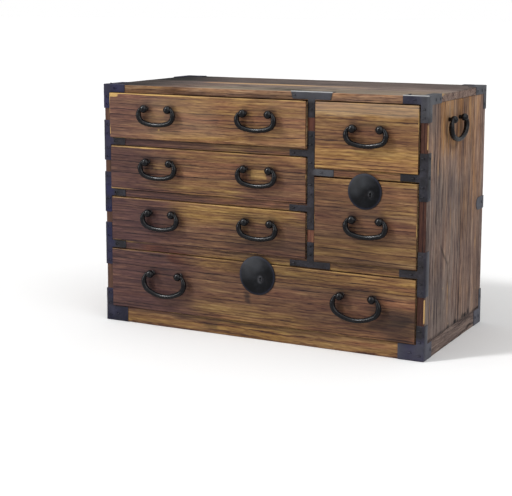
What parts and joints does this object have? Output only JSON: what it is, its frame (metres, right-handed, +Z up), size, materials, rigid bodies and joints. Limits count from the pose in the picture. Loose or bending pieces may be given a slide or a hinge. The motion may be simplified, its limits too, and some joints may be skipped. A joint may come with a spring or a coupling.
{
  "type": "chest of drawers",
  "caption": "Low wooden tansu chest of drawers with sheet-iron corner straps, drop bail handles on each drawer and side, and round iron lock plates.",
  "frame": {"origin": "under the middle of the object's whole box, on the plane it stands on", "axes": "+Z up; the drawers open towards -Y; +X is to the right seen from the front"},
  "size_m": [0.801, 0.4016, 0.5381],
  "materials": {
    "front_wood": "old oiled drawer fronts, fine grain, satin",
    "carcass_wood": "weathered brown, worn pale at the edges",
    "inner_wood": "bare dry wood inside",
    "iron": "blackened forged iron, satin, worn"
  },
  "bodies": {
    "carcass": {"side_panel_left": "carcass_wood", "side_panel_right": "carcass_wood", "centre_divider": "carcass_wood", "top_plank_front": "carcass_wood", "top_plank_rear": "carcass_wood", "back_planks": "inner_wood", "bottom_board": "inner_wood", "base_rail_front": "carcass_wood", "base_rails": "carcass_wood", "rail_long": "carcass_wood", "rails_short": "carcass_wood", "dust_shelves": "inner_wood", "posts_sides": "iron", "stile_irons": "iron", "corner_irons_front": "iron", "corner_irons_back": "iron", "divider_irons": "iron", "iron_nails": "iron"},
    "drawer_upper_left": {"drawer_upper_left_front": "front_wood", "drawer_upper_left_box": "inner_wood", "drawer_upper_left_bottom": "inner_wood", "posts_upper_left": "iron"},
    "bail_upper_left_left": {"bail_upper_left_left": "iron"},
    "bail_upper_left_right": {"bail_upper_left_right": "iron"},
    "drawer_middle_left": {"drawer_middle_left_front": "front_wood", "drawer_middle_left_box": "inner_wood", "drawer_middle_left_bottom": "inner_wood", "posts_middle_left": "iron"},
    "bail_middle_left_left": {"bail_middle_left_left": "iron"},
    "bail_middle_left_right": {"bail_middle_left_right": "iron"},
    "drawer_lower_left": {"drawer_lower_left_front": "front_wood", "drawer_lower_left_box": "inner_wood", "drawer_lower_left_bottom": "inner_wood", "posts_lower_left": "iron"},
    "bail_lower_left_left": {"bail_lower_left_left": "iron"},
    "bail_lower_left_right": {"bail_lower_left_right": "iron"},
    "drawer_upper_right": {"drawer_upper_right_front": "front_wood", "drawer_upper_right_box": "inner_wood", "drawer_upper_right_bottom": "inner_wood", "posts_upper_right": "iron"},
    "bail_upper_right": {"bail_upper_right": "iron"},
    "drawer_lower_right": {"drawer_lower_right_front": "front_wood", "drawer_lower_right_box": "inner_wood", "drawer_lower_right_bottom": "inner_wood", "posts_lower_right": "iron", "lock_plate_small": "iron", "lock_case_small": "iron"},
    "bail_lower_right": {"bail_lower_right": "iron"},
    "lock_bolt_small": {"lock_bolt_small": "iron"},
    "drawer_long": {"drawer_long_front": "front_wood", "drawer_long_box": "inner_wood", "drawer_long_bottom": "inner_wood", "posts_long": "iron", "lock_plate_large": "iron", "lock_case_large": "iron"},
    "bail_long_left": {"bail_long_left": "iron"},
    "bail_long_right": {"bail_long_right": "iron"},
    "lock_bolt_large": {"lock_bolt_large": "iron"},
    "bail_side_left": {"bail_side_left": "iron"},
    "bail_side_right": {"bail_side_right": "iron"}
  },
  "joints": [
    {"name": "slide_upper_left", "type": "slide", "parent": "carcass", "child": "drawer_upper_left", "axis": [0, -1, 0], "range_m": [0, 0.26]},
    {"name": "swing_upper_left_left", "type": "hinge", "parent": "drawer_upper_left", "child": "bail_upper_left_left", "pos_m": [-0.2355, -0.19185, 0.487], "axis": [-1, 0, 0], "range_deg": [0, 170]},
    {"name": "swing_upper_left_right", "type": "hinge", "parent": "drawer_upper_left", "child": "bail_upper_left_right", "pos_m": [0.0075, -0.19185, 0.487], "axis": [-1, 0, 0], "range_deg": [0, 170]},
    {"name": "slide_middle_left", "type": "slide", "parent": "carcass", "child": "drawer_middle_left", "axis": [0, -1, 0], "range_m": [0, 0.26]},
    {"name": "swing_middle_left_left", "type": "hinge", "parent": "drawer_middle_left", "child": "bail_middle_left_left", "pos_m": [-0.2345, -0.18885, 0.3695], "axis": [-1, 0, 0], "range_deg": [0, 170]},
    {"name": "swing_middle_left_right", "type": "hinge", "parent": "drawer_middle_left", "child": "bail_middle_left_right", "pos_m": [0.0078, -0.18885, 0.3695], "axis": [-1, 0, 0], "range_deg": [0, 170]},
    {"name": "slide_lower_left", "type": "slide", "parent": "carcass", "child": "drawer_lower_left", "axis": [0, -1, 0], "range_m": [0, 0.26]},
    {"name": "swing_lower_left_left", "type": "hinge", "parent": "drawer_lower_left", "child": "bail_lower_left_left", "pos_m": [-0.23, -0.18885, 0.257], "axis": [-1, 0, 0], "range_deg": [0, 170]},
    {"name": "swing_lower_left_right", "type": "hinge", "parent": "drawer_lower_left", "child": "bail_lower_left_right", "pos_m": [0.0105, -0.18885, 0.257], "axis": [-1, 0, 0], "range_deg": [0, 170]},
    {"name": "slide_upper_right", "type": "slide", "parent": "carcass", "child": "drawer_upper_right", "axis": [0, -1, 0], "range_m": [0, 0.26]},
    {"name": "swing_upper_right", "type": "hinge", "parent": "drawer_upper_right", "child": "bail_upper_right", "pos_m": [0.2548, -0.18885, 0.467], "axis": [-1, 0, 0], "range_deg": [0, 170]},
    {"name": "slide_lower_right", "type": "slide", "parent": "carcass", "child": "drawer_lower_right", "axis": [0, -1, 0], "range_m": [0, 0.26]},
    {"name": "swing_lower_right", "type": "hinge", "parent": "drawer_lower_right", "child": "bail_lower_right", "pos_m": [0.2565, -0.18885, 0.2818], "axis": [-1, 0, 0], "range_deg": [0, 170]},
    {"name": "throw_small_lock", "type": "slide", "parent": "drawer_lower_right", "child": "lock_bolt_small", "axis": [0, 0, 1], "range_m": [0, 0.008]},
    {"name": "slide_long", "type": "slide", "parent": "carcass", "child": "drawer_long", "axis": [0, -1, 0], "range_m": [0, 0.26]},
    {"name": "swing_long_left", "type": "hinge", "parent": "drawer_long", "child": "bail_long_left", "pos_m": [-0.2194, -0.19035, 0.121], "axis": [-1, 0, 0], "range_deg": [0, 170]},
    {"name": "swing_long_right", "type": "hinge", "parent": "drawer_long", "child": "bail_long_right", "pos_m": [0.238, -0.19035, 0.121], "axis": [-1, 0, 0], "range_deg": [0, 170]},
    {"name": "throw_large_lock", "type": "slide", "parent": "drawer_long", "child": "lock_bolt_large", "axis": [0, 0, 1], "range_m": [0, 0.008]},
    {"name": "swing_side_left", "type": "hinge", "parent": "carcass", "child": "bail_side_left", "pos_m": [-0.3915, -0.01435, 0.481], "axis": [0, 1, 0], "range_deg": [0, 170]},
    {"name": "swing_side_right", "type": "hinge", "parent": "carcass", "child": "bail_side_right", "pos_m": [0.3915, -0.01435, 0.481], "axis": [0, -1, 0], "range_deg": [0, 170]}
  ]
}
